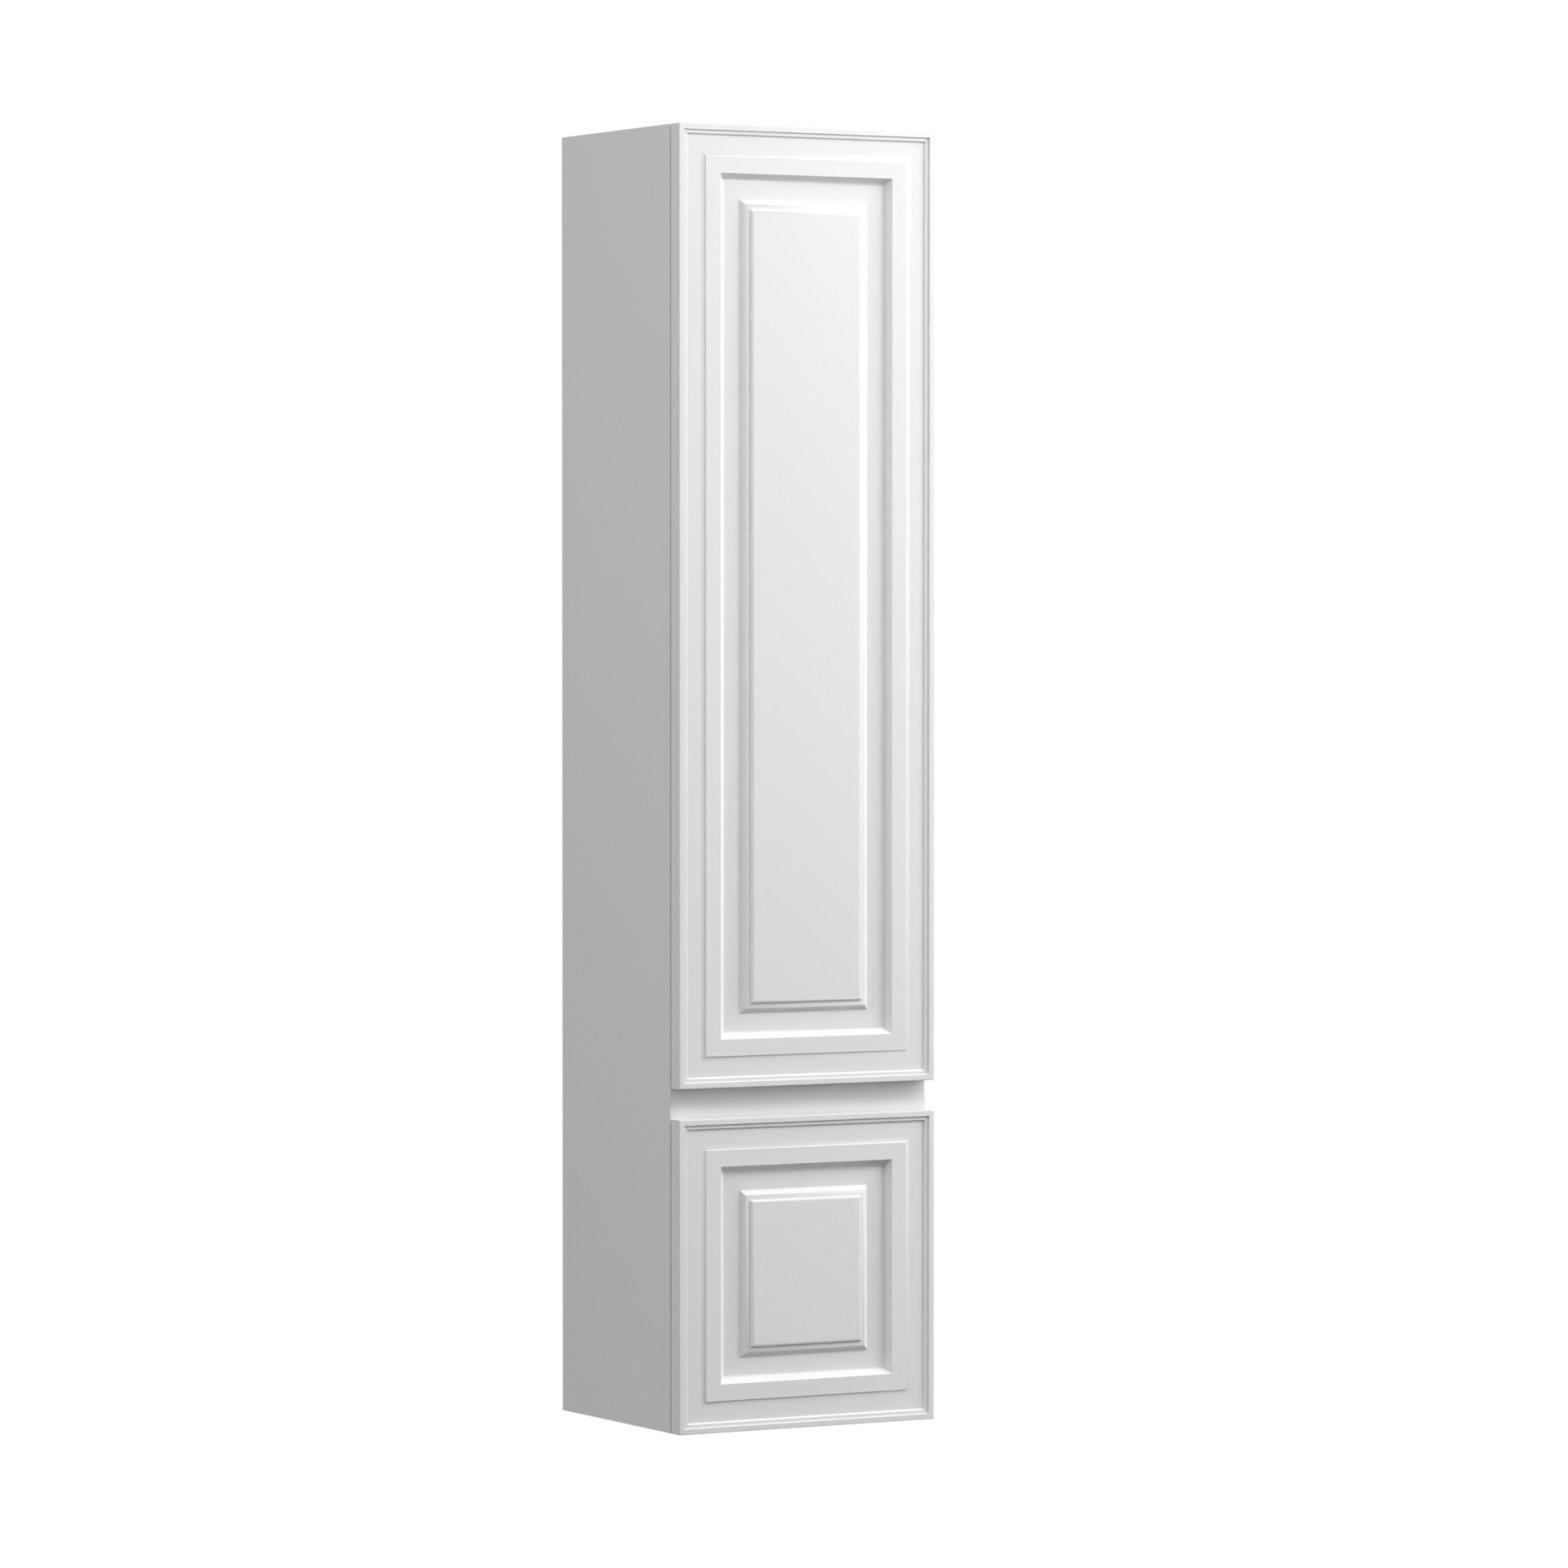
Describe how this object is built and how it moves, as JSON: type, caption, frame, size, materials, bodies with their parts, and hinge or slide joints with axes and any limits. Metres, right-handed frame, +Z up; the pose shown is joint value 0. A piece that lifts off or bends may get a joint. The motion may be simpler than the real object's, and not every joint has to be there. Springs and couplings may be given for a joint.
{
  "type": "tall bathroom cabinet",
  "caption": "Tall narrow wall-hung bathroom cabinet with a panelled door over a matching panelled drawer, a recessed finger gap between them, shelves, concealed hinges and runners.",
  "frame": {"origin": "middle of the screw pattern of the two wall plates, on the face of the wall behind the cabinet's top", "axes": "+Z up, +Y into the wall, +X to the right as seen from the front"},
  "size_m": [0.36, 0.31, 1.6],
  "materials": {
    "carcass_lacquer": "white satin lacquer on board",
    "front_lacquer": "white satin lacquer on milled fibreboard",
    "shelf_board": "white faced board",
    "thin_board": "white faced thin board",
    "drawer_board": "white faced board",
    "beech_dowel": "plain turned beech",
    "nickel": "nickel plated pressed steel",
    "zinc_steel": "zinc plated sheet steel",
    "screw_steel": "zinc plated screws",
    "hanger_plastic": "light grey moulded plastic",
    "cover_plastic": "white moulded plastic",
    "clear_rubber": "soft translucent bumper"
  },
  "bodies": {
    "carcass": {"back_panel": "thin_board", "bottom_panel": "carcass_lacquer", "carcass_dowels": "beech_dowel", "finger_rail": "carcass_lacquer", "front_bumpers": "clear_rubber", "hanger_adjusters": "screw_steel", "hanger_body_left": "hanger_plastic", "hanger_body_right": "hanger_plastic", "hanger_cover_left": "cover_plastic", "hanger_cover_right": "cover_plastic", "hanger_hook_left": "zinc_steel", "hanger_hook_right": "zinc_steel", "hinge_arm_1": "nickel", "hinge_arm_2": "nickel", "hinge_arm_3": "nickel", "hinge_arm_pins": "nickel", "hinge_plate_1": "nickel", "hinge_plate_2": "nickel", "hinge_plate_3": "nickel", "hinge_plate_screws": "screw_steel", "lower_back_rail": "carcass_lacquer", "middle_panel": "carcass_lacquer", "runner_cabinet_left": "zinc_steel", "runner_cabinet_right": "zinc_steel", "runner_screws": "screw_steel", "shelf_1": "shelf_board", "shelf_2": "shelf_board", "shelf_3": "shelf_board", "shelf_pins": "nickel", "side_panel_left": "carcass_lacquer", "side_panel_right": "carcass_lacquer", "top_panel": "carcass_lacquer", "wall_plate_left": "zinc_steel", "wall_plate_right": "zinc_steel"},
    "door": {"door_front": "front_lacquer", "hinge_cup_1": "nickel", "hinge_cup_2": "nickel", "hinge_cup_3": "nickel", "hinge_cup_screws": "screw_steel"},
    "outer_links": {"hinge_outer_link_1": "nickel", "hinge_outer_link_2": "nickel", "hinge_outer_link_3": "nickel", "hinge_outer_pins": "nickel"},
    "inner_links": {"hinge_inner_link_1": "nickel", "hinge_inner_link_2": "nickel", "hinge_inner_link_3": "nickel", "hinge_inner_pins": "nickel"},
    "runner_middles": {"runner_middle_left": "zinc_steel", "runner_middle_right": "zinc_steel"},
    "drawer": {"drawer_front": "front_lacquer", "drawer_side_left": "drawer_board", "drawer_side_right": "drawer_board", "drawer_inner_front": "drawer_board", "drawer_back": "drawer_board", "drawer_bottom": "thin_board", "drawer_dowels": "beech_dowel", "front_screws": "screw_steel", "runner_drawer_left": "zinc_steel", "runner_drawer_right": "zinc_steel", "runner_drawer_screws": "screw_steel"}
  },
  "joints": [
    {"name": "door_hinge", "type": "hinge", "parent": "carcass", "child": "door", "pos_m": [0.1732, -0.3005, -0.5085], "axis": [0, 0, 1], "range_deg": [0, 100]},
    {"name": "outer_link_turn", "type": "hinge", "parent": "carcass", "child": "outer_links", "pos_m": [0.144, -0.278, -0.5085], "axis": [0, 0, 1], "range_deg": [-17.4, 0]},
    {"name": "inner_link_turn", "type": "hinge", "parent": "carcass", "child": "inner_links", "pos_m": [0.142, -0.2814, -0.5085], "axis": [0, 0, 1], "range_deg": [-20.6, 0]},
    {"name": "drawer_slide", "type": "slide", "parent": "carcass", "child": "drawer", "axis": [0, -1, 0], "range_m": [0, 0.25]},
    {"name": "runner_middle_slide", "type": "slide", "parent": "carcass", "child": "runner_middles", "axis": [0, -1, 0], "range_m": [0, 0.125]}
  ],
  "couplings": [
    {"joint": "outer_link_turn", "follows": "door_hinge", "ratio": -0.17324},
    {"joint": "inner_link_turn", "follows": "door_hinge", "ratio": -0.20507},
    {"joint": "runner_middle_slide", "follows": "drawer_slide", "ratio": 0.5}
  ]
}
